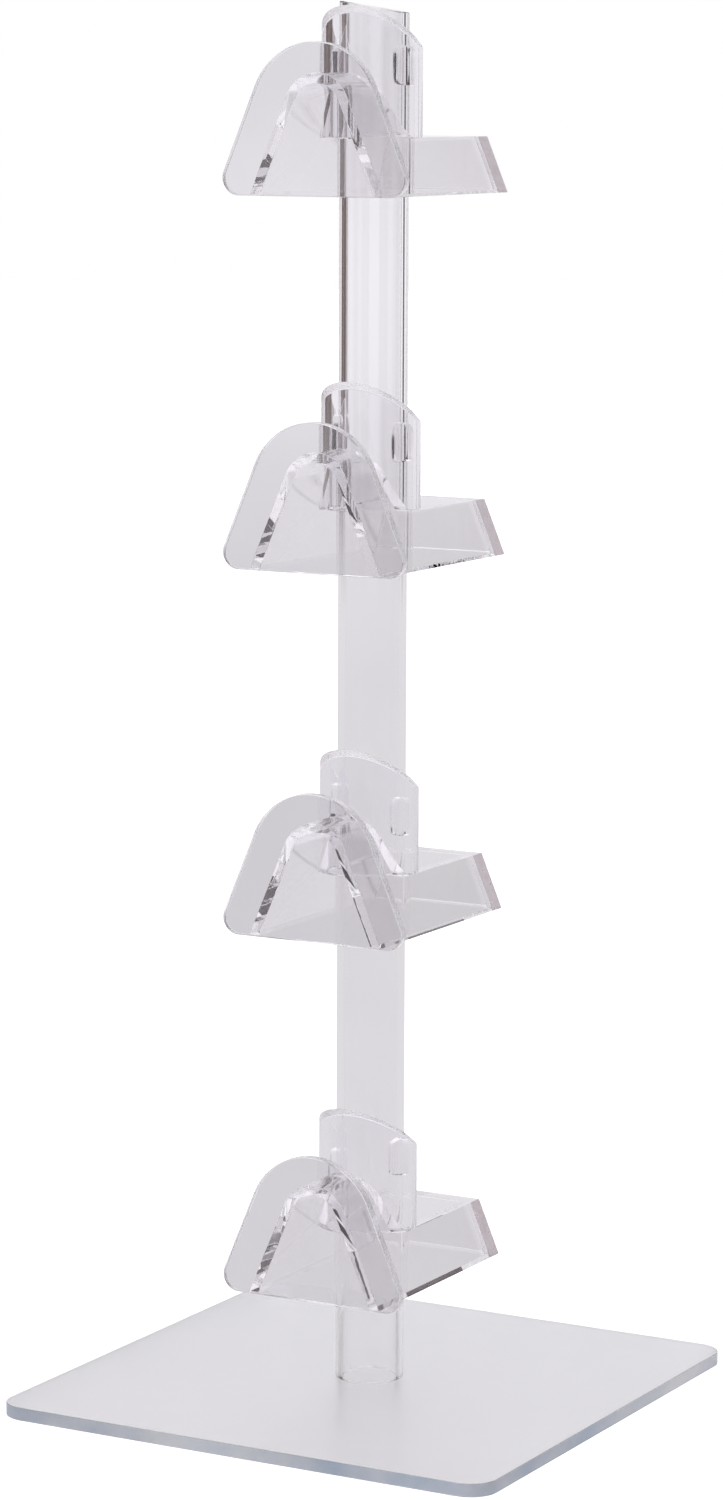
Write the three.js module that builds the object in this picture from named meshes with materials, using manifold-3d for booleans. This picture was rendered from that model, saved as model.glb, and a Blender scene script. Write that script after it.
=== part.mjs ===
// Countertop rack for eyeglasses in clear acrylic: a square base plate carries a round
// tube post with four nose-shaped holders, one above the other. Each holder is a front
// plate, a folded nose saddle that the bridge of the glasses sits on, an oblique half collar
// in front of the post that stops the frame sliding back, two pads of thick cement between
// the half collar and the post, and a rear plate that closes the wings.
// Millimetres, +Z up, the holders face -Y, origin at the centre of the base's underside.

import * as THREE from 'three';
import { mergeVertices } from 'three/addons/utils/BufferGeometryUtils.js';
import Module from 'manifold-3d';

const wasm = await Module();
wasm.setup();

// Driving dimensions

const cementGap = 0.3;            // cement line between neighbouring pieces
const sheet = 3;                  // acrylic sheet of the front plates and saddles
const flankSlope = 0.425;         // sideways run of every nose flank per unit of drop

const base = { side: 160, thickness: 4, cornerRadius: 8.5, edgeRound: 0.5 };

const post = { radius: 10, wall: 2, topHeight: 405.3, topSlope: 0.165, topBearing: 30 };

const holders = { count: 4, lowest: 34.4, pitch: 106 };

const frontPlate = { face: -35.5, height: 43, apexRadius: 20.6, cornerRadius: 5 };

const saddle = { height: 34.4, apexRadius: 10.6, wingHeight: 16.1 };

const rearPlate = { face: 41.5, thickness: 6 };

// `wrap` is how far the half collar reaches round each side of the post, from the front
const halfCollar = { radius: 15.1, wall: 3, wrap: 95, frontHeight: 53.4, topSlope: 0.722 };

const cementPad = { low: 28, high: 40, wrapFrom: 57, wrapTo: 92 };

// Bearings of the holders' front, -Y, and back, +Y, in degrees from +X
const frontBearing = 270;
const backBearing = 90;

// Modelling settings

const steps = { nose: 16, tube: 48, corner: 8, edge: 2, pad: 16 };   // facets of the round shapes
const overrun = 10;               // how far blanks and cutters run past the finished piece
const weldDistance = 1e-4;

// Materials

const acrylic = { color: 0xe4e1ea, roughness: 0.06, metalness: 0, transparent: true, opacity: 0.45 };
const materials = {
  base: () => new THREE.MeshStandardMaterial({ ...acrylic, color: 0xe0e6ef }),
  post: () => new THREE.MeshStandardMaterial({ ...acrylic, opacity: 0.5 }),
  holder: () => new THREE.MeshStandardMaterial(acrylic),
  sawnEdge: () => new THREE.MeshStandardMaterial({ ...acrylic, color: 0xd3cad6, roughness: 0.25 }),
  cement: () => new THREE.MeshStandardMaterial({ ...acrylic, opacity: 0.3, roughness: 0.15 }),
};

// Solids

function toSolid(geometry) {
  geometry.deleteAttribute('normal');
  geometry.deleteAttribute('uv');
  const merged = mergeVertices(geometry, weldDistance);
  return new wasm.Manifold(new wasm.Mesh({
    numProp: 3,
    vertProperties: merged.attributes.position.array,
    triVerts: new Uint32Array(merged.index.array),
  }));
}

function toGeometry(solid) {
  const mesh = solid.getMesh();
  const geometry = new THREE.BufferGeometry();
  geometry.setAttribute('position', new THREE.BufferAttribute(mesh.vertProperties, 3));
  geometry.setIndex(new THREE.BufferAttribute(mesh.triVerts, 1));
  return geometry;
}

function box(low, high) {
  const size = high.map((value, axis) => value - low[axis]);
  const centre = high.map((value, axis) => (value + low[axis]) / 2);
  return new THREE.BoxGeometry(...size).translate(...centre);
}

// An outline drawn in X and Z, as a slab standing between two planes of constant Y
function slab(shape, front, back) {
  const options = { depth: back - front, bevelEnabled: false, curveSegments: steps.nose };
  return new THREE.ExtrudeGeometry(shape, options).rotateX(Math.PI / 2).translate(0, back, 0);
}

function disc(radius, low, high, hole = 0) {
  const shape = new THREE.Shape().absarc(0, 0, radius, 0, 2 * Math.PI);
  if (hole > 0) {
    shape.holes.push(new THREE.Path().absarc(0, 0, hole, 0, 2 * Math.PI, true));
  }
  const options = { depth: high - low, bevelEnabled: false, curveSegments: steps.tube / 2 };
  return new THREE.ExtrudeGeometry(shape, options).translate(0, 0, low);
}

// Part of an upright tube, between two bearings in degrees from +X
function sector(radius, low, high, hole, from, to, arcSteps) {
  const start = THREE.MathUtils.degToRad(from);
  const end = THREE.MathUtils.degToRad(to);
  const shape = new THREE.Shape();
  shape.absarc(0, 0, radius, start, end);
  shape.absarc(0, 0, hole, end, start, true);
  const options = { depth: high - low, bevelEnabled: false, curveSegments: arcSteps };
  return new THREE.ExtrudeGeometry(shape.closePath(), options).translate(0, 0, low);
}

// Everything above the plane that passes through (0, 0, height) and falls by `slope`
// along the horizontal bearing, in degrees from +X
function aboveSlope(height, slope, bearing) {
  const reach = 100;
  return box([-reach, -reach, 0], [reach, reach, reach])
    .rotateY(Math.atan(slope))
    .rotateZ(THREE.MathUtils.degToRad(bearing))
    .translate(0, 0, height);
}

// Outlines

const flankAngle = Math.atan(flankSlope);

// Where the round apex of a nose outline meets its straight flank
function flankStart(height, apexRadius) {
  const x = apexRadius * Math.cos(flankAngle);
  const z = height - apexRadius + apexRadius * Math.sin(flankAngle);
  return { x, z, footX: x + flankSlope * z };
}

function frontPlateOutline() {
  const { height, apexRadius, cornerRadius } = frontPlate;
  const { footX } = flankStart(height, apexRadius);
  const cornerX = footX - cornerRadius * (flankSlope + 1 / Math.cos(flankAngle));
  const shape = new THREE.Shape();
  shape.absarc(cornerX, cornerRadius, cornerRadius, -Math.PI / 2, flankAngle);
  shape.absarc(0, height - apexRadius, apexRadius, flankAngle, Math.PI - flankAngle);
  shape.absarc(-cornerX, cornerRadius, cornerRadius, Math.PI - flankAngle, 1.5 * Math.PI);
  return shape.closePath();
}

function saddleOutline() {
  const { height, apexRadius } = saddle;
  const centreZ = height - apexRadius;
  const outer = flankStart(height, apexRadius);
  const inner = flankStart(height - sheet, apexRadius - sheet);
  const shape = new THREE.Shape();
  shape.moveTo(inner.footX, 0);
  shape.lineTo(outer.footX, 0);
  shape.absarc(0, centreZ, apexRadius, flankAngle, Math.PI - flankAngle);
  shape.lineTo(-outer.footX, 0);
  shape.lineTo(-inner.footX, 0);
  shape.absarc(0, centreZ, apexRadius - sheet, Math.PI - flankAngle, flankAngle, true);
  return shape.closePath();
}

function rearPlateOutline() {
  const { footX } = flankStart(saddle.height, saddle.apexRadius);
  const topX = footX - flankSlope * saddle.wingHeight;
  return new THREE.Shape([
    new THREE.Vector2(-footX, 0),
    new THREE.Vector2(footX, 0),
    new THREE.Vector2(topX, saddle.wingHeight),
    new THREE.Vector2(-topX, saddle.wingHeight),
  ]);
}

// Sub-parts

function basePlate() {
  const { side, thickness, cornerRadius, edgeRound } = base;
  const centre = side / 2 - cornerRadius;
  const radius = cornerRadius - edgeRound;
  const shape = new THREE.Shape();
  for (let corner = 0; corner < 4; corner++) {
    const turn = corner * Math.PI / 2;
    const x = centre * Math.SQRT2 * Math.cos(turn + Math.PI / 4);
    const y = centre * Math.SQRT2 * Math.sin(turn + Math.PI / 4);
    shape.absarc(x, y, radius, turn, turn + Math.PI / 2);
  }
  const options = {
    depth: thickness - 2 * edgeRound,
    bevelSize: edgeRound,
    bevelThickness: edgeRound,
    bevelSegments: steps.edge,
    curveSegments: steps.corner,
  };
  return new THREE.ExtrudeGeometry(shape, options).translate(0, 0, edgeRound);
}

function postTube() {
  const { radius, wall, topHeight, topSlope, topBearing } = post;
  const foot = base.thickness + cementGap;
  const tube = toSolid(disc(radius, foot, topHeight + overrun, radius - wall));
  return toGeometry(tube.subtract(toSolid(aboveSlope(topHeight, topSlope, topBearing))));
}

function frontPlateSlab() {
  const { face } = frontPlate;
  return slab(frontPlateOutline(), face, face + sheet);
}

// The folded sheet is whole in front of the half collar. Behind it only the wings are left,
// and the half collar stands on them.
function noseSaddle() {
  const front = frontPlate.face + sheet + cementGap;
  const back = rearPlate.face - rearPlate.thickness - cementGap;
  const clearance = halfCollar.radius + cementGap;
  const folded = toSolid(slab(saddleOutline(), front, back));
  const wing = saddle.wingHeight;
  const top = saddle.height + overrun;
  const side = clearance + overrun;
  const collarRoom = toSolid(disc(clearance, wing, top));
  const openTop = toSolid(box([-side, 0, wing], [side, back + overrun, top]));
  return toGeometry(folded.subtract(collarRoom).subtract(openTop));
}

function halfCollarShell() {
  const { radius, wall, wrap, frontHeight, topSlope } = halfCollar;
  const foot = saddle.wingHeight + cementGap;
  const top = frontHeight + overrun;
  const ends = [frontBearing - wrap, frontBearing + wrap];
  const shell = toSolid(sector(radius, foot, top, radius - wall, ...ends, steps.tube));
  const axisHeight = frontHeight - topSlope * radius;
  return toGeometry(shell.subtract(toSolid(aboveSlope(axisHeight, topSlope, backBearing))));
}

// side is 1 for the pad on the +X side and -1 for the other
function cementPadBlock(side) {
  const { low, high, wrapFrom, wrapTo } = cementPad;
  const outer = halfCollar.radius - halfCollar.wall - cementGap;
  const inner = post.radius + cementGap;
  const ends = [frontBearing + side * wrapFrom, frontBearing + side * wrapTo];
  ends.sort((a, b) => a - b);
  return sector(outer, low, high, inner, ...ends, steps.pad);
}

function rearPlateSlab() {
  const { face, thickness } = rearPlate;
  return slab(rearPlateOutline(), face - thickness, face);
}

// Assembly

function part(name, geometry, material) {
  const mesh = new THREE.Mesh(geometry, material);
  mesh.name = name;
  return mesh;
}

const rack = new THREE.Group();
rack.add(part('base_plate', basePlate(), materials.base()));
rack.add(part('post_tube', postTube(), materials.post()));

for (let level = 1; level <= holders.count; level++) {
  const holder = new THREE.Group();
  holder.position.z = holders.lowest + (level - 1) * holders.pitch;
  holder.add(part(`front_plate_${level}`, frontPlateSlab(), materials.holder()));
  holder.add(part(`nose_saddle_${level}`, noseSaddle(), materials.holder()));
  holder.add(part(`half_collar_${level}`, halfCollarShell(), materials.holder()));
  holder.add(part(`cement_pad_right_${level}`, cementPadBlock(1), materials.cement()));
  holder.add(part(`cement_pad_left_${level}`, cementPadBlock(-1), materials.cement()));
  holder.add(part(`rear_plate_${level}`, rearPlateSlab(), materials.sawnEdge()));
  rack.add(holder);
}

export default rack;
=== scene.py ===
# Looks of the clear acrylic eyeglass rack: every sheet, tube and plate is rebuilt round the
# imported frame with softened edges, fine arcs and clear acrylic, and stands on a pale floor.

import math
import random

import bmesh
import bpy
from mathutils import Matrix, Vector


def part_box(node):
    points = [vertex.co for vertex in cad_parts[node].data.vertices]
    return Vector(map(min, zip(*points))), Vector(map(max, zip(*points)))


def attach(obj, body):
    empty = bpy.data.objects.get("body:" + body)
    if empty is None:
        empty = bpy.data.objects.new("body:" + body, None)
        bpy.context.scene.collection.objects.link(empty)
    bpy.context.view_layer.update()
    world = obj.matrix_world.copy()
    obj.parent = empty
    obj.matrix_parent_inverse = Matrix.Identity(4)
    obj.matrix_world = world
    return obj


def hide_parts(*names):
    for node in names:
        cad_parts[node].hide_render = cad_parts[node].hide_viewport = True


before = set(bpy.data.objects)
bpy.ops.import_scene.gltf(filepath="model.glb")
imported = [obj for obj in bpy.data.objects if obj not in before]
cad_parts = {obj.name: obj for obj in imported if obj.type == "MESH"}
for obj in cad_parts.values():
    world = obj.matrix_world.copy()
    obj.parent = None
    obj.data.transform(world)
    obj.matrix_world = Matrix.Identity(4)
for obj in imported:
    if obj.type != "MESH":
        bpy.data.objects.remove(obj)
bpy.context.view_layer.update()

MM = 0.001
LEVELS = range(1, 5)                      # holders, counted from the lowest

# Shapes that the frame's boxes don't give
SHEET = 3 * MM                            # front plates and saddles
FLANK_ANGLE = math.atan(0.425)            # lean of every nose flank from upright
PLATE_APEX = 20.6 * MM
PLATE_CORNER = 5 * MM
SADDLE_APEX = 10.6 * MM
BASE_CORNER = 8.5 * MM
POST_WALL = 2 * MM
POST_TOP_SLOPE = 0.165
POST_TOP_BEARING = math.radians(30)       # the way the post's top cut falls
FRONT = math.radians(270)                 # bearing of the holders' front, -Y
COLLAR_WALL = 3 * MM
COLLAR_WRAP = math.radians(95)            # reach of a half collar round each side, from the front
COLLAR_TOP_SLOPE = 0.722
COLLAR_TOP_BEARING = math.radians(90)     # half collars fall towards the back
SADDLE_CLEARANCE = 0.3 * MM               # saddle to half collar
PAD_WRAP = (math.radians(57), math.radians(92))
PAD_FILL = 0.93                           # share of the CAD pad's size that the cement takes up
PAD_UNEVEN = 0.05                         # largest wave in its outline, as a share of its size
PAD_ROUNDNESS = 0.6                       # 1 gives an ellipse and 0 a rectangle
PAD_LIFT = (-3, 5)                        # millimetres that it may sit lower or higher
CEMENT = 0.05 * MM                        # film left between two cemented faces

# Edges
POLISHED_EDGE = 0.35 * MM                 # rounding left by polishing
SAWN_EDGE = 0.15 * MM
EDGE_STEPS = 3
ARC_STEP = math.radians(2)
TUBE_SIDES = 192
PAD_SIDES = 40
SHARP_ANGLE = math.radians(25)
FLAT_FACE_WEIGHT = 100                    # large faces set the normals along their edges


# Meshes

def solid_mesh(name, verts, faces):
    """A mesh whose faces all point out."""
    mesh = bpy.data.meshes.new(name)
    mesh.from_pydata([tuple(v) for v in verts], [], faces)
    work = bmesh.new()
    work.from_mesh(mesh)
    bmesh.ops.recalc_face_normals(work, faces=work.faces)
    work.to_mesh(mesh)
    work.free()
    return mesh


def add_piece(name, verts, faces, material):
    return finish_mesh(name, solid_mesh(name, verts, faces), material)


def finish_mesh(name, mesh, material):
    """Shades the curves smooth and keeps the flats flat."""
    mesh.materials.clear()
    mesh.materials.append(material)
    mesh.shade_smooth()
    mesh.set_sharp_from_angle(angle=SHARP_ANGLE)
    piece = bpy.data.objects.new(name, mesh)
    bpy.context.scene.collection.objects.link(piece)
    normals = piece.modifiers.new("flat faces stay flat", "WEIGHTED_NORMAL")
    normals.keep_sharp = True
    normals.weight = FLAT_FACE_WEIGHT
    return piece


def stand_for(piece, slot, *nodes):
    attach(piece, "root")
    if nodes:
        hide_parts(*nodes)


def arc(centre, radius, start, end):
    """Points of an arc in the outline's plane, ends included."""
    steps = max(2, math.ceil(abs(end - start) / ARC_STEP))
    angles = [start + (end - start) * i / steps for i in range(steps + 1)]
    return [(centre[0] + radius * math.cos(a), centre[1] + radius * math.sin(a)) for a in angles]


def inset(outline, distance):
    """The counterclockwise outline moved inwards by a small distance."""
    moved = []
    for i, point in enumerate(outline):
        before, here, after = Vector(outline[i - 1]), Vector(point), Vector(outline[(i + 1) % len(outline)])
        first = (here - before).normalized()
        second = (after - here).normalized()
        normals = Vector((-first.y, first.x)), Vector((-second.y, second.x))
        mitre = normals[0] + normals[1]
        moved.append(here + mitre * (2 * distance / mitre.length_squared))
    return moved


def slab_mesh(outline, low, high, edge, place, steps=1):
    """A slab of the outline between two depths, with softened edges. place(u, v, depth) gives a point,
    and steps cuts the slab's length where place bends it."""
    rounds = [math.pi / 2 * i / EDGE_STEPS for i in range(EDGE_STEPS + 1)]
    rings = [(edge * (1 - math.sin(a)), low + edge * (1 - math.cos(a))) for a in rounds]
    rings += [(0, low + edge + (high - low - 2 * edge) * i / steps) for i in range(1, steps)]
    rings += [(edge * (1 - math.cos(a)), high - edge * (1 - math.sin(a))) for a in rounds]
    verts, faces = [], []
    count = len(outline)
    for distance, height in rings:
        verts += [place(u, v, height) for u, v in inset(outline, distance)]
    for ring in range(len(rings) - 1):
        for i in range(count):
            j = (i + 1) % count
            start = ring * count
            faces.append((start + i, start + j, start + count + j, start + count + i))
    faces.append(tuple(reversed(range(count))))
    faces.append(tuple(range((len(rings) - 1) * count, len(rings) * count)))
    return verts, faces


def tube_mesh(radius, wall, foot, top, edge):
    """An open tube, sharp at its foot. top(radius, angle) is the height of its rounded upper rim."""
    inner = radius - wall
    rounds = [math.pi / 2 * i / EDGE_STEPS for i in range(EDGE_STEPS + 1)]
    # Each profile point is a radius, a drop from the rim, and whether it belongs to the rim at all
    profile = [(radius, 0, False)]
    profile += [(radius - edge * (1 - math.cos(a)), edge * (1 - math.sin(a)), True) for a in rounds]
    profile += [(inner + edge * (1 - math.sin(a)), edge * (1 - math.cos(a)), True) for a in rounds]
    profile += [(inner, 0, False)]
    verts, faces = [], []
    for r, drop, at_rim in profile:
        for side in range(TUBE_SIDES):
            angle = 2 * math.pi * side / TUBE_SIDES
            height = top(r, angle) - drop if at_rim else foot
            verts.append((r * math.cos(angle), r * math.sin(angle), height))
    for ring in range(len(profile)):
        after = (ring + 1) % len(profile)
        for i in range(TUBE_SIDES):
            j = (i + 1) % TUBE_SIDES
            faces.append((ring * TUBE_SIDES + i, ring * TUBE_SIDES + j,
                          after * TUBE_SIDES + j, after * TUBE_SIDES + i))
    return verts, faces


def sloped_top(axis_height, slope, bearing):
    return lambda r, angle: axis_height - slope * r * math.cos(angle - bearing)


def cut(name, mesh, cutters):
    """The mesh less every cutter, as a new mesh."""
    body = bpy.data.objects.new(name, mesh)
    bpy.context.scene.collection.objects.link(body)
    tools = []
    for verts, faces in cutters:
        tool = bpy.data.objects.new("cutter", solid_mesh("cutter", verts, faces))
        bpy.context.scene.collection.objects.link(tool)
        tools.append(tool)
        modifier = body.modifiers.new("cut", "BOOLEAN")
        modifier.operation = "DIFFERENCE"
        modifier.solver = "EXACT"
        modifier.object = tool
    graph = bpy.context.evaluated_depsgraph_get()
    result = bpy.data.meshes.new_from_object(body.evaluated_get(graph))
    for thing in [body, *tools]:
        bpy.data.objects.remove(thing)
    return result


# Outlines, in X and height above the holder's foot

def nose_side(height, radius):
    """Centre of a nose outline's apex arc, and the half width at its foot."""
    centre = height - radius
    touch = centre + radius * math.sin(FLANK_ANGLE)
    half = radius * math.cos(FLANK_ANGLE) + math.tan(FLANK_ANGLE) * touch
    return centre, half


def plate_outline(height):
    centre, half = nose_side(height, PLATE_APEX)
    corner = half - PLATE_CORNER * (math.tan(FLANK_ANGLE) + 1 / math.cos(FLANK_ANGLE))
    lean = FLANK_ANGLE
    points = arc((corner, PLATE_CORNER), PLATE_CORNER, -math.pi / 2, lean)
    points += arc((0, centre), PLATE_APEX, lean, math.pi - lean)
    points += arc((-corner, PLATE_CORNER), PLATE_CORNER, math.pi - lean, 1.5 * math.pi)
    return points


def saddle_outline(height):
    centre, outer = nose_side(height, SADDLE_APEX)
    inner = nose_side(height - SHEET, SADDLE_APEX - SHEET)[1]
    lean = FLANK_ANGLE
    points = [(inner, 0), (outer, 0)]
    points += arc((0, centre), SADDLE_APEX, lean, math.pi - lean)
    points += [(-outer, 0), (-inner, 0)]
    points += arc((0, centre), SADDLE_APEX - SHEET, math.pi - lean, lean)
    return points


def rear_outline(half, height):
    top = half - math.tan(FLANK_ANGLE) * height
    return [(-half, 0), (half, 0), (top, height), (-top, height)]


def corner_outline(side):
    centre = side / 2 - BASE_CORNER
    points = []
    for quarter in range(4):
        turn = quarter * math.pi / 2
        spot = Vector((centre, centre)) @ Matrix.Rotation(turn, 2).transposed()
        points += arc(spot, BASE_CORNER, turn, turn + math.pi / 2)
    return points


# Materials

def node(tree, kind, **settings):
    made = tree.nodes.new(kind)
    for key, value in settings.items():
        setattr(made, key, value)
    return made


def noise(tree, place, scale, detail, stretch=(1, 1, 1)):
    """Noise over the piece's own metres, squeezed along the axes where stretch is small."""
    mapping = node(tree, "ShaderNodeMapping")
    mapping.inputs["Scale"].default_value = stretch
    tree.links.new(place, mapping.inputs["Vector"])
    texture = node(tree, "ShaderNodeTexNoise")
    texture.inputs["Scale"].default_value = scale
    texture.inputs["Detail"].default_value = detail
    tree.links.new(mapping.outputs["Vector"], texture.inputs["Vector"])
    return texture.outputs["Fac"]


def remap(tree, value, source, target):
    change = node(tree, "ShaderNodeMapRange", clamp=True)
    for socket, number in zip(("From Min", "From Max", "To Min", "To Max"), (*source, *target)):
        change.inputs[socket].default_value = number
    tree.links.new(value, change.inputs["Value"])
    return change.outputs["Result"]


def bump(tree, height, distance):
    made = node(tree, "ShaderNodeBump")
    made.inputs["Distance"].default_value = distance
    tree.links.new(height, made.inputs["Height"])
    return made


def blend(tree, kind, share, first, second):
    """A mix of two values or two colours, each a number, a tuple or another node's output."""
    mix = node(tree, "ShaderNodeMix", data_type=kind)
    for socket, value in zip(("Factor", "A", "B"), (share, first, second)):
        # A mix node has its inputs once for each kind of data, and only this kind's are switched on
        spot = next(s for s in mix.inputs if s.name == socket and s.enabled)
        if isinstance(value, bpy.types.NodeSocket):
            tree.links.new(value, spot)
        else:
            spot.default_value = value
    return next(s for s in mix.outputs if s.enabled)


# Noise scales, in cells to the metre, and the parts of the noise's range that are used
CLOUDS = 40
SCUFFS = 300
SWELLS = 60
SCUFF_STRETCH = (1, 1, 0.25)
TINT_RANGE = (0.35, 0.65)
SCUFF_RANGE = (0.55, 0.8)
FINISH_RANGE = (0.3, 0.7)


def tints(tree, texture, colours):
    share = remap(tree, texture, TINT_RANGE, (0, 1))
    return blend(tree, "RGBA", share, (*colours[0], 1), (*colours[1], 1))


def acrylic(name, colours, waves, wave_stretch=(1, 1, 1), roughness=(0.0, 0.02), ior=1.49):
    """Clear acrylic with faint clouding, a wavy surface and fine scuffs."""
    material = bpy.data.materials.new(name)
    material.use_nodes = True
    tree = material.node_tree
    shader = tree.nodes["Principled BSDF"]
    shader.inputs["Transmission Weight"].default_value = 1.0
    shader.inputs["IOR"].default_value = ior
    place = node(tree, "ShaderNodeTexCoord").outputs["Object"]
    tree.links.new(tints(tree, noise(tree, place, CLOUDS, 3), colours), shader.inputs["Base Color"])
    scuffs = noise(tree, place, SCUFFS, 3, SCUFF_STRETCH)
    tree.links.new(remap(tree, scuffs, SCUFF_RANGE, roughness), shader.inputs["Roughness"])
    swell = noise(tree, place, SWELLS, 1, wave_stretch)
    tree.links.new(bump(tree, swell, waves).outputs["Normal"], shader.inputs["Normal"])
    return material


ALONG = (0.6, 0.85)      # a normal's share along an axis, where a face starts and ends to look along it
ACROSS = (0.6, 0.35)     # the same for faces that look away from the axis
OBLIQUE = (0.45, 0.7)    # the same for a sloping face and the rounding beside it


def work_faces(material, axis, span, colours, roughness, grain, lumps=0, both_ways=True):
    """Gives the faces that look along or across an axis another finish, such as a saw's."""
    tree = material.node_tree
    shader = tree.nodes["Principled BSDF"]
    coordinates = node(tree, "ShaderNodeTexCoord")
    split = node(tree, "ShaderNodeSeparateXYZ")
    tree.links.new(coordinates.outputs["Normal"], split.inputs[0])
    size = node(tree, "ShaderNodeMath", operation="ABSOLUTE" if both_ways else "ADD")
    size.inputs[1].default_value = 0
    tree.links.new(split.outputs[axis], size.inputs[0])
    share = remap(tree, size.outputs[0], span, (0, 1))
    mottle = noise(tree, coordinates.outputs["Object"], grain, 4)

    def rest(name):
        return shader.inputs[name].links[0].from_socket

    colour = blend(tree, "RGBA", share, rest("Base Color"), tints(tree, mottle, colours))
    rough = blend(tree, "FLOAT", share, rest("Roughness"), remap(tree, mottle, FINISH_RANGE, roughness))
    tree.links.new(colour, shader.inputs["Base Color"])
    tree.links.new(rough, shader.inputs["Roughness"])
    if lumps:
        relief = bump(tree, mottle, lumps)
        tree.links.new(share, relief.inputs["Strength"])
        tree.links.new(rest("Normal"), relief.inputs["Normal"])
        tree.links.new(relief.outputs["Normal"], shader.inputs["Normal"])
    return material


CLEAR = ((0.99, 0.985, 0.99), (0.975, 0.965, 0.975))
LAVENDER = ((0.965, 0.955, 0.975), (0.945, 0.935, 0.955))
SMOKY = ((0.855, 0.845, 0.86), (0.835, 0.825, 0.84))
ICE = ((0.985, 0.99, 1.0), (0.97, 0.98, 1.0))
DEEP_ICE = ((0.97, 0.985, 1.0), (0.42, 0.55, 0.74))
# A darker plum tint: painted shade on the rear plates' sawn ends
PLUM_PAINTED_SHADE = ((0.87, 0.79, 0.82), (0.72, 0.64, 0.67))


def base_material():
    """A satin top and clear edges that show the body's pale blue."""
    material = acrylic("cast plate", ICE, 0.02 * MM, roughness=(0.0, 0.04))
    work_faces(material, "Z", ACROSS, DEEP_ICE, (0.0, 0.06), grain=35)
    satin = ((0.995, 0.99, 0.995), (0.99, 0.985, 0.99))
    return work_faces(material, "Z", ALONG, satin, (0.3, 0.32), grain=120, both_ways=False)


def post_material():
    """Drawn along its length, with a sawn top."""
    drawn = ((0.985, 0.98, 0.985), (0.97, 0.965, 0.97))
    material = acrylic("extruded tube", drawn, 0.05 * MM, (1, 1, 0.06))
    return work_faces(material, "Z", ALONG, CLEAR, (0.2, 0.4), grain=400, lumps=0.02 * MM, both_ways=False)


def plate_material():
    """Polished flat, with edges that a flame has only glazed."""
    material = acrylic("clear sheet", SMOKY, 0.006 * MM)
    return work_faces(material, "Y", ACROSS, LAVENDER, (0.23, 0.27), grain=300)


def saddle_material():
    """The sheet's ends are set in cement, which left them uneven."""
    material = acrylic("folded sheet", CLEAR, 0.01 * MM)
    return work_faces(material, "Y", ALONG, CLEAR, (0.0, 0.01), grain=120, lumps=0.05 * MM)


def collar_material():
    """Drawn along its length, with a dull oblique rim."""
    material = acrylic("collar tube", LAVENDER, 0.04 * MM, (1, 1, 0.1), roughness=(0.03, 0.07))
    return work_faces(material, "Z", OBLIQUE, CLEAR, (0.19, 0.23), grain=300)


def rear_material():
    """Its slanting ends are left as the saw cut them, rough and lumpy, and their darker plum tint is
    painted shade; its long edges are scraped.
    """
    material = acrylic("sawn plate with painted shade", CLEAR, 0.01 * MM)
    work_faces(material, "Z", ALONG, CLEAR, (0.06, 0.1), grain=300)
    # The sawn ends' plum tint is painted shade; their roughness and lumps are the saw's
    return work_faces(material, "X", ALONG, PLUM_PAINTED_SHADE, (0.25, 0.6), grain=450, lumps=0.12 * MM)


materials = {
    "base": base_material(),
    "post": post_material(),
    "plate": plate_material(),
    "saddle": saddle_material(),
    "collar": collar_material(),
    "rear": rear_material(),
    "cement": acrylic("hard cement", CLEAR, 0.1 * MM, ior=1.12),
}


# Pieces

def upright(level_height):
    """Puts an outline's X and height into the holder whose foot is at that height, Y across the slab."""
    return lambda u, v, depth: (u, depth, level_height + v)


def base_plate():
    low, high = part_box("base_plate")
    outline = corner_outline(high.x - low.x)
    verts, faces = slab_mesh(outline, low.z, high.z, POLISHED_EDGE, lambda u, v, h: (u, v, h))
    stand_for(add_piece("base_sheet", verts, faces, materials["base"]), "base_acrylic", "base_plate")


def post_tube():
    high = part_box("post_tube")[1]
    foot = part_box("base_plate")[1].z + CEMENT
    radius = high.x
    top = sloped_top(high.z - POST_TOP_SLOPE * radius, POST_TOP_SLOPE, POST_TOP_BEARING)
    verts, faces = tube_mesh(radius, POST_WALL, foot, top, SAWN_EDGE)
    stand_for(add_piece("post_clear_tube", verts, faces, materials["post"]), "post_acrylic", "post_tube")


def front_plate(level):
    low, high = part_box(f"front_plate_{level}")
    outline = plate_outline(high.z - low.z)
    verts, faces = slab_mesh(outline, low.y, high.y, POLISHED_EDGE, upright(low.z))
    piece = add_piece(f"nose_plate_{level}", verts, faces, materials["plate"])
    stand_for(piece, "sheet_acrylic", f"front_plate_{level}")


def prism(outline, low, high):
    """A sharp-edged upright block of the outline, in X and Y."""
    count = len(outline)
    verts = [(x, y, low) for x, y in outline] + [(x, y, high) for x, y in outline]
    faces = [(i, (i + 1) % count, count + (i + 1) % count, count + i) for i in range(count)]
    faces += [tuple(reversed(range(count))), tuple(range(count, 2 * count))]
    return verts, faces


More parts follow.
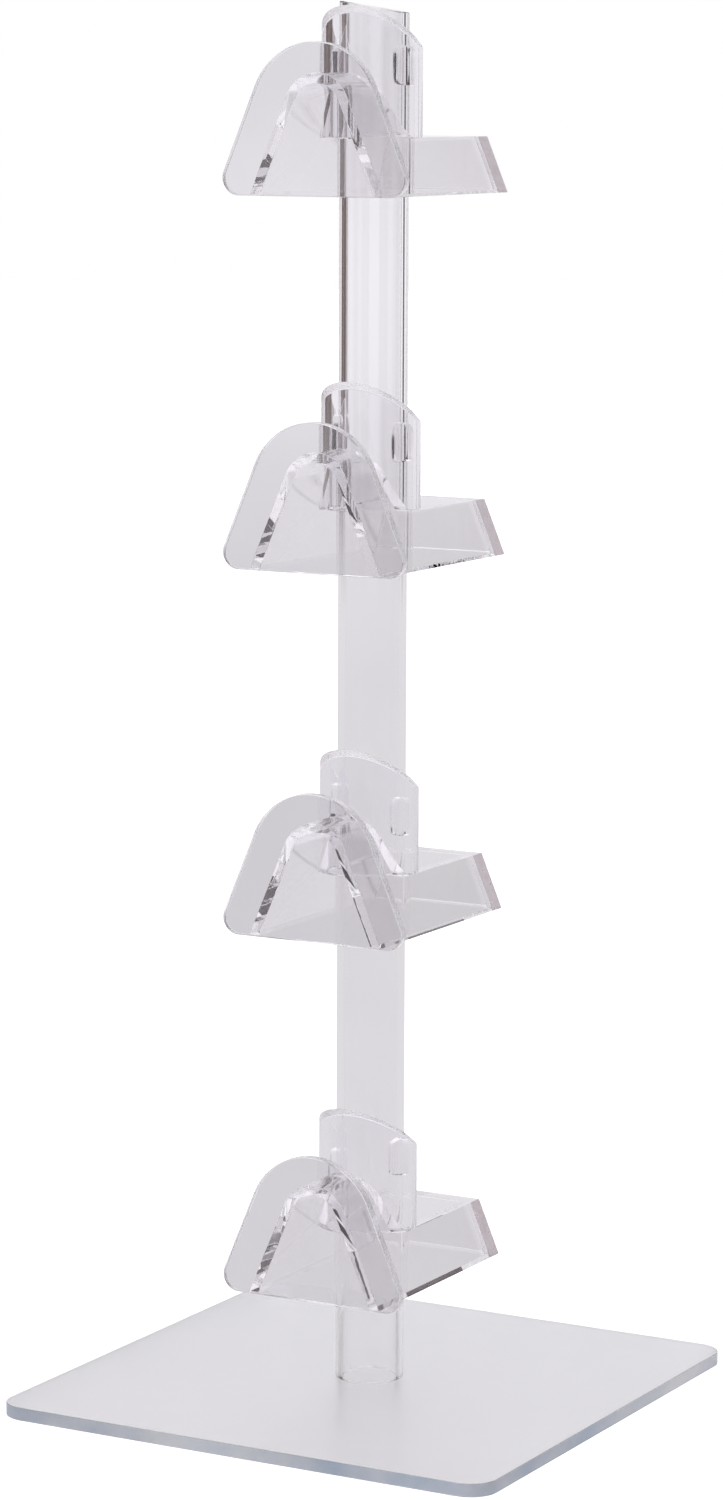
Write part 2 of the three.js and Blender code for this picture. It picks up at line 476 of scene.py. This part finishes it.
def nose_saddle(level):
    """The folded sheet, whole as far as the half collar and then cut down to its two wings."""
    low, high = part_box(f"nose_saddle_{level}")
    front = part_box(f"front_plate_{level}")[1].y + CEMENT
    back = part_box(f"rear_plate_{level}")[0].y - CEMENT
    wing_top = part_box(f"rear_plate_{level}")[1].z
    outline = saddle_outline(high.z - low.z)
    mesh = solid_mesh("folded sheet", *slab_mesh(outline, front, back, SAWN_EDGE, upright(low.z)))
    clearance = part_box(f"half_collar_{level}")[1].x + SADDLE_CLEARANCE
    margin = 5 * MM
    turns = [2 * math.pi * i / TUBE_SIDES for i in range(TUBE_SIDES)]
    collar_room = [(clearance * math.cos(a), clearance * math.sin(a)) for a in turns]
    side, end = high.x + margin, back + margin
    behind = [(side, 0), (side, end), (-side, end), (-side, 0)]
    cutters = [prism(room, wing_top, high.z + margin) for room in (collar_room, behind)]
    piece = finish_mesh(f"folded_saddle_{level}", cut("saddle", mesh, cutters), materials["saddle"])
    stand_for(piece, "sheet_acrylic", f"nose_saddle_{level}")


def half_collar(level):
    """Half a tube, from its flat foot on the wings to its oblique rim."""
    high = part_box(f"half_collar_{level}")[1]
    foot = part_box(f"rear_plate_{level}")[1].z + CEMENT
    radius = high.x
    top = sloped_top(high.z - COLLAR_TOP_SLOPE * radius, COLLAR_TOP_SLOPE, COLLAR_TOP_BEARING)
    # The wall's section is drawn a metre tall, and place moves its ends to the foot and the rim
    tall = 1
    section = rounded_box(radius - COLLAR_WALL, radius, 0, tall, POLISHED_EDGE)

    def place(r, v, along):
        angle = along / radius
        height = top(r, angle) - (tall - v) if v > tall / 2 else foot + v
        return r * math.cos(angle), r * math.sin(angle), height

    ends = (FRONT - COLLAR_WRAP) * radius, (FRONT + COLLAR_WRAP) * radius
    verts, faces = slab_mesh(section, *ends, SAWN_EDGE, place, TUBE_SIDES // 2)
    piece = add_piece(f"bridge_stop_{level}", verts, faces, materials["collar"])
    stand_for(piece, "collar_acrylic", f"half_collar_{level}")


def rounded_box(left, right, low, high, radius):
    """A rectangle's outline with rounded corners, counterclockwise."""
    corners = ((right, high, 0), (left, high, 1), (left, low, 2), (right, low, 3))
    points = []
    for x, y, quarter in corners:
        centre = (x - radius if x == right else x + radius, y - radius if y == high else y + radius)
        for i in range(EDGE_STEPS + 1):
            angle = math.pi / 2 * (quarter + i / EDGE_STEPS)
            points.append((centre[0] + radius * math.cos(angle), centre[1] + radius * math.sin(angle)))
    return points


def cement_pad(level, side, word):
    """A poured pad of cement with an uneven outline, between the post and the half collar."""
    node_name = f"cement_pad_{word}_{level}"
    low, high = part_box(node_name)
    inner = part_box("post_tube")[1].x + CEMENT
    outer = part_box(f"half_collar_{level}")[1].x - COLLAR_WALL - CEMENT
    middle = (inner + outer) / 2
    bearing = FRONT + side * sum(PAD_WRAP) / 2
    half_width = middle * (PAD_WRAP[1] - PAD_WRAP[0]) / 2
    half_height = (high.z - low.z) / 2
    shape = random.Random(f"{word} pad {level}")
    lift = shape.uniform(*PAD_LIFT) * MM
    waves = [(n, shape.uniform(-PAD_UNEVEN, PAD_UNEVEN), shape.uniform(0, 2 * math.pi)) for n in (2, 3, 5)]
    outline = []
    for i in range(PAD_SIDES):
        a = 2 * math.pi * i / PAD_SIDES
        swell = PAD_FILL + sum(size * math.sin(n * a + start) for n, size, start in waves)
        u = half_width * swell * math.copysign(abs(math.cos(a)) ** PAD_ROUNDNESS, math.cos(a))
        v = half_height * swell * math.copysign(abs(math.sin(a)) ** PAD_ROUNDNESS, math.sin(a))
        outline.append((u, v))
    centre = (low.z + high.z) / 2 + lift

    def place(u, v, depth):
        angle = bearing + u / middle
        return depth * math.cos(angle), depth * math.sin(angle), centre + v

    verts, faces = slab_mesh(outline, inner, outer, SAWN_EDGE, place)
    piece = add_piece(f"cement_{word}_{level}", verts, faces, materials["cement"])
    stand_for(piece, "cement", node_name)


def rear_plate(level):
    low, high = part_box(f"rear_plate_{level}")
    outline = rear_outline(high.x, high.z - low.z)
    verts, faces = slab_mesh(outline, low.y, high.y, SAWN_EDGE, upright(low.z))
    piece = add_piece(f"wing_end_plate_{level}", verts, faces, materials["rear"])
    stand_for(piece, "sawn_acrylic", f"rear_plate_{level}")


base_plate()
post_tube()
for level in LEVELS:
    front_plate(level)
    nose_saddle(level)
    half_collar(level)
    cement_pad(level, 1, "right")
    cement_pad(level, -1, "left")
    rear_plate(level)


# Studio: a white floor and sky for the camera. The acrylic sees a pale room with a few dark cards.

FLOOR_REACH = 6.0
FLOOR_GAP = 0.2 * MM                      # floor to the base's underside
FLOOR_GREY = 0.9
FLOOR_ROUGHNESS = 0.9
FLOOR_GLOW = 0.6                          # keeps the floor near white


def studio_floor():
    reach = FLOOR_REACH
    mesh = bpy.data.meshes.new("floor")
    corners = [(-reach, -reach), (reach, -reach), (reach, reach), (-reach, reach)]
    mesh.from_pydata([(x, y, -FLOOR_GAP) for x, y in corners], [], [(0, 1, 2, 3)])
    material = bpy.data.materials.new("white floor")
    material.use_nodes = True
    shader = material.node_tree.nodes["Principled BSDF"]
    shader.inputs["Base Color"].default_value = (FLOOR_GREY, FLOOR_GREY, FLOOR_GREY, 1)
    shader.inputs["Roughness"].default_value = FLOOR_ROUGHNESS
    shader.inputs["Emission Color"].default_value = (1, 1, 1, 1)
    shader.inputs["Emission Strength"].default_value = FLOOR_GLOW
    mesh.materials.append(material)
    floor = bpy.data.objects.new("floor", mesh)
    bpy.context.scene.collection.objects.link(floor)
    floor.visible_transmission = False
    floor.visible_glossy = False


# Room seen by the acrylic: elevation in degrees and brightness of the pale sweep
SWEEP = ((-90, 0.8), (-58, 0.84), (-42, 1.1), (-30, 1.16), (-22, 0.97), (-18, 0.79),
         (-14.5, 0.76), (-10, 0.73), (-5, 0.82), (-2.5, 0.92), (0, 0.84), (8, 0.86),
         (20, 0.83), (45, 0.6), (60, 1.6), (90, 1.8))
SWEEP_TINT = (1.0, 0.985, 1.02)
# Dark cards in the room, all angles in degrees: direction and elevation of the middle, half width,
# half height, soft rim, colour
CARDS = (
    ("left flag", 160, 17, 16, 21, 3, (0.11, 0.07, 0.065)),
    ("right flag", 62.5, 22, 15.5, 17, 4, (0.08, 0.06, 0.065)),
    ("right edge", 80, 0.5, 5, 5.5, 2, (0.04, 0.022, 0.025)),
    ("near side", 22, 1, 16, 6, 2, (0.02, 0.012, 0.012)),
    ("far side", -24, 1, 17, 6, 2, (0.02, 0.012, 0.012)),
)


def studio_world():
    world = bpy.data.worlds.new("studio")
    bpy.context.scene.world = world
    world.use_nodes = True
    tree = world.node_tree
    tree.nodes.clear()
    direction = node(tree, "ShaderNodeTexCoord").outputs["Generated"]
    split = node(tree, "ShaderNodeSeparateXYZ")
    tree.links.new(direction, split.inputs[0])

    def maths(operation, *values):
        made = node(tree, "ShaderNodeMath", operation=operation)
        for socket, value in zip(made.inputs, values):
            if isinstance(value, (int, float)):
                socket.default_value = value
            else:
                tree.links.new(value, socket)
        return made.outputs[0]

    elevation = maths("DEGREES", maths("ARCSINE", split.outputs["Z"]))
    azimuth = maths("DEGREES", maths("ARCTAN2", split.outputs["Y"], split.outputs["X"]))

    ramp = node(tree, "ShaderNodeFloatCurve")
    curve = ramp.mapping.curves[0]
    ramp.mapping.use_clip = False
    top = max(value for _, value in SWEEP)
    points = [((angle + 90) / 180, value / top) for angle, value in SWEEP]
    curve.points[0].location = points[0]
    curve.points[-1].location = points[-1]
    for point in points[1:-1]:
        curve.points.new(*point)
    for point in curve.points:
        point.handle_type = "AUTO_CLAMPED"
    ramp.mapping.update()
    tree.links.new(maths("DIVIDE", maths("ADD", elevation, 90), 180), ramp.inputs["Value"])
    sweep = node(tree, "ShaderNodeVectorMath", operation="SCALE")
    sweep.inputs[0].default_value = [part * top for part in SWEEP_TINT]
    tree.links.new(ramp.outputs[0], sweep.inputs["Scale"])
    colour = sweep.outputs[0]

    def window(angle, centre, half, soft):
        away = maths("ABSOLUTE", maths("WRAP", maths("SUBTRACT", angle, centre), 180, -180))
        edge = node(tree, "ShaderNodeMapRange", interpolation_type="SMOOTHSTEP")
        tree.links.new(away, edge.inputs["Value"])
        for socket, number in zip(("From Min", "From Max", "To Min", "To Max"), (half, half + soft, 1, 0)):
            edge.inputs[socket].default_value = number
        return edge.outputs["Result"]

    for _, card_azimuth, card_elevation, half_width, half_height, soft, card_colour in CARDS:
        share = maths("MULTIPLY", window(azimuth, card_azimuth, half_width, soft),
                      window(elevation, card_elevation, half_height, soft))
        colour = blend(tree, "RGBA", share, colour, (*card_colour, 1))

    room = node(tree, "ShaderNodeBackground")
    tree.links.new(colour, room.inputs["Color"])
    white = node(tree, "ShaderNodeBackground")
    white.inputs["Color"].default_value = (1, 1, 1, 1)
    path = node(tree, "ShaderNodeLightPath")
    choose = node(tree, "ShaderNodeMixShader")
    tree.links.new(path.outputs["Is Camera Ray"], choose.inputs["Fac"])
    tree.links.new(room.outputs[0], choose.inputs[1])
    tree.links.new(white.outputs[0], choose.inputs[2])
    output = node(tree, "ShaderNodeOutputWorld")
    tree.links.new(choose.outputs[0], output.inputs["Surface"])


# Camera

CAMERA_LENS = 109.65                      # millimetres
CAMERA_SENSOR = 36                        # millimetres, along the picture's long side
CAMERA_PLACE = (0.6369, -1.1514, 0.3874)
CAMERA_BEARING = math.radians(29.079)     # from straight ahead, towards +X
CAMERA_PITCH = math.radians(8.461)        # downwards
CAMERA_ROLL = math.radians(0.214)


def studio_camera():
    camera = bpy.data.objects.new("camera", bpy.data.cameras.new("camera"))
    bpy.context.scene.collection.objects.link(camera)
    camera.data.sensor_width = CAMERA_SENSOR
    camera.data.lens = CAMERA_LENS
    camera.location = CAMERA_PLACE
    turn = Matrix.Rotation(CAMERA_BEARING, 4, "Z") @ Matrix.Rotation(math.pi / 2 - CAMERA_PITCH, 4, "X")
    camera.rotation_euler = (turn @ Matrix.Rotation(CAMERA_ROLL, 4, "Z")).to_euler()
    bpy.context.scene.camera = camera


BOUNCES = 40


def light_paths():
    """Clear sheets seen edge on pass light along by many reflections."""
    cycles = bpy.context.scene.cycles
    cycles.max_bounces = BOUNCES
    cycles.transmission_bounces = BOUNCES
    cycles.glossy_bounces = BOUNCES


studio_floor()
studio_world()
studio_camera()
light_paths()
bpy.context.scene.view_settings.view_transform = "Standard"
